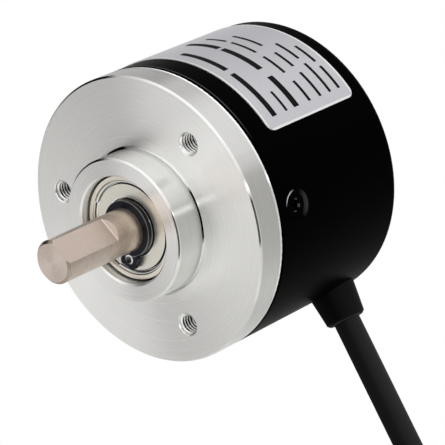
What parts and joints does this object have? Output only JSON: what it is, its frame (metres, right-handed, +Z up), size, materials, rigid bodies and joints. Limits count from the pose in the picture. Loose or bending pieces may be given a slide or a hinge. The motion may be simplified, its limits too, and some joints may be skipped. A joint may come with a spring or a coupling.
{
  "type": "incremental rotary encoder",
  "caption": "Round optical shaft encoder with an aluminium flange, pilot boss, D-cut shaft on ball bearings, black cover and side cable; turns shaft rotation into pulses.",
  "frame": {"origin": "centre of the flange's mounting face, on the shaft axis", "axes": "-Y along the shaft towards its free end, +Z up, opposite to the way the cable leaves the cover"},
  "size_m": [0.0401, 0.0564, 0.1105],
  "materials": {
    "turned_aluminium": "fine turned, satin",
    "black_paint": "satin black paint on cast aluminium",
    "black_steel": "black oxide",
    "silver_plate": "matt silver foil plate",
    "gland_rubber": "moulded black rubber",
    "seal_rubber": "nitrile rubber",
    "cable_jacket": "black PVC jacket",
    "stainless_shaft": "ground stainless steel",
    "bearing_steel": "ground bearing steel",
    "shield_steel": "pressed steel sheet",
    "spring_steel": "rolled spring steel",
    "cage_nylon": "natural nylon",
    "hub_brass": "turned brass",
    "disc_steel": "etched stainless sheet",
    "mask_glass": "clear glass with a chrome pattern",
    "sensor_epoxy": "dark clear epoxy",
    "lamp_epoxy": "tinted clear epoxy",
    "holder_plastic": "moulded black plastic",
    "board_laminate": "green solder mask on glass laminate",
    "chip_epoxy": "moulded epoxy",
    "capacitor_ceramic": "sintered ceramic",
    "header_nylon": "white nylon",
    "lead_insulation": "coloured PVC",
    "tinned_wire": "tinned copper",
    "zinc_steel": "zinc plated steel",
    "tie_plastic": "black plastic strip"
  },
  "bodies": {
    "housing": {"base_flange": "turned_aluminium", "cover": "black_paint", "cover_screws": "black_steel", "cover_seal": "seal_rubber", "nameplate": "silver_plate", "cable_gland": "gland_rubber", "cable_ferrule": "hub_brass", "front_outer_ring": "bearing_steel", "rear_outer_ring": "bearing_steel", "front_shields": "shield_steel", "rear_shields": "shield_steel", "front_shield_wires": "spring_steel", "rear_shield_wires": "spring_steel", "preload_spring": "spring_steel", "led_holder": "holder_plastic", "led_emitter": "lamp_epoxy", "led_leads": "tinned_wire", "index_mask": "mask_glass", "photo_sensor": "sensor_epoxy", "circuit_board": "board_laminate", "board_standoffs": "hub_brass", "board_screws": "zinc_steel", "output_driver": "chip_epoxy", "board_capacitors": "capacitor_ceramic", "wire_header": "header_nylon", "lead_wires": "lead_insulation", "cable": "cable_jacket", "cable_coil": "cable_jacket", "cable_end_leads": "lead_insulation", "coil_tie": "tie_plastic"},
    "rotor": {"shaft": "stainless_shaft", "snap_ring": "black_steel", "front_inner_ring": "bearing_steel", "rear_inner_ring": "bearing_steel", "disc_hub": "hub_brass", "hub_set_screws": "black_steel", "code_disc": "disc_steel"},
    "front_cage_set": {"front_cage": "cage_nylon", "front_balls": "bearing_steel"},
    "rear_cage_set": {"rear_cage": "cage_nylon", "rear_balls": "bearing_steel"}
  },
  "joints": [
    {"name": "shaft_spin", "type": "hinge", "parent": "housing", "child": "rotor", "pos_m": [0, 0, 0], "axis": [0, -1, 0], "continuous": true},
    {"name": "front_cage_spin", "type": "hinge", "parent": "housing", "child": "front_cage_set", "pos_m": [0, 0, 0], "axis": [0, -1, 0], "continuous": true},
    {"name": "rear_cage_spin", "type": "hinge", "parent": "housing", "child": "rear_cage_set", "pos_m": [0, 0, 0], "axis": [0, -1, 0], "continuous": true}
  ],
  "couplings": [
    {"joint": "front_cage_spin", "follows": "shaft_spin", "ratio": 0.38667},
    {"joint": "rear_cage_spin", "follows": "shaft_spin", "ratio": 0.38667}
  ]
}
